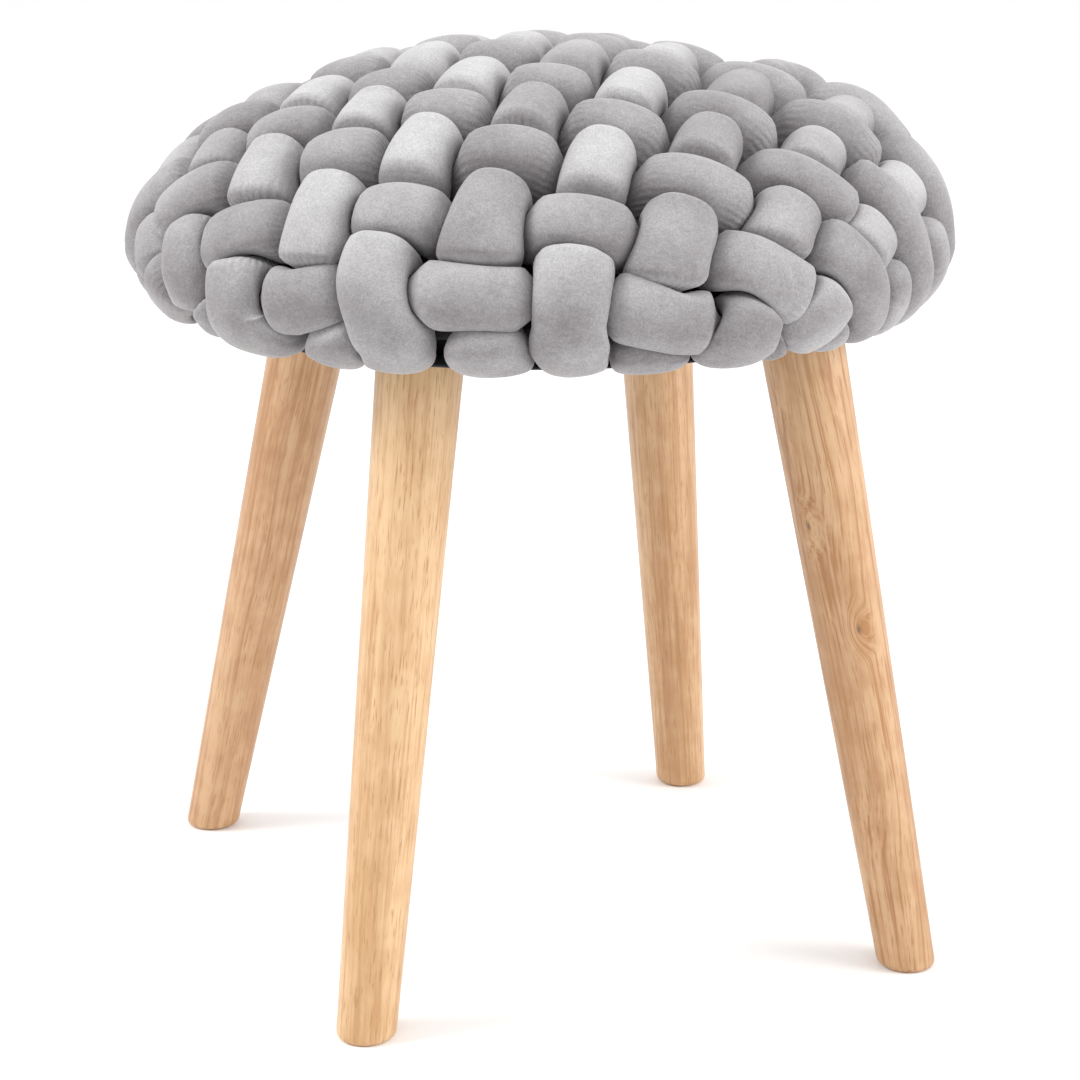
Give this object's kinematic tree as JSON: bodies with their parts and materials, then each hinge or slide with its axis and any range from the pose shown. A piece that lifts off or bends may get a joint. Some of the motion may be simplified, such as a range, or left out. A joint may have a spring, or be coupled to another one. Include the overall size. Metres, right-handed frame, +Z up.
{
  "type": "woven velvet tube pouf seat on a four-legged wooden stool",
  "caption": "Round pouf seat woven from padded grey velvet tubes over a domed cushion, on a stool with splayed, tapered legs of light wood.",
  "frame": {"origin": "on the floor, in the middle of the whole part's box seen from above", "axes": "+Z up out of the seat, -Y towards the front, +X to the right; the camera of the picture stands 14.5 degrees to the right of the front"},
  "size_m": [0.4214, 0.3998, 0.4382],
  "materials": {
    "velvet": "soft short-pile velvet with a pale sheen",
    "black_cloth": "plain matt black cloth",
    "light_wood": "smooth light wood under a thin clear lacquer"
  },
  "bodies": {
    "root": {"tube_along_01": "velvet", "tube_along_02": "velvet", "tube_along_03": "velvet", "tube_along_04": "velvet", "tube_along_05": "velvet", "tube_along_06": "velvet", "tube_along_07": "velvet", "tube_along_08": "velvet", "tube_along_09": "velvet", "tube_along_10": "velvet", "tube_across_01": "velvet", "tube_across_02": "velvet", "tube_across_03": "velvet", "tube_across_04": "velvet", "tube_across_05": "velvet", "tube_across_06": "velvet", "tube_across_07": "velvet", "tube_across_08": "velvet", "tube_across_09": "velvet", "tube_across_10": "velvet", "tube_across_11": "velvet", "tube_across_12": "velvet", "seat": "black_cloth", "under_cloth": "black_cloth", "leg_front_left": "light_wood", "leg_front_right": "light_wood", "leg_back_right": "light_wood", "leg_back_left": "light_wood"}
  },
  "joints": []
}
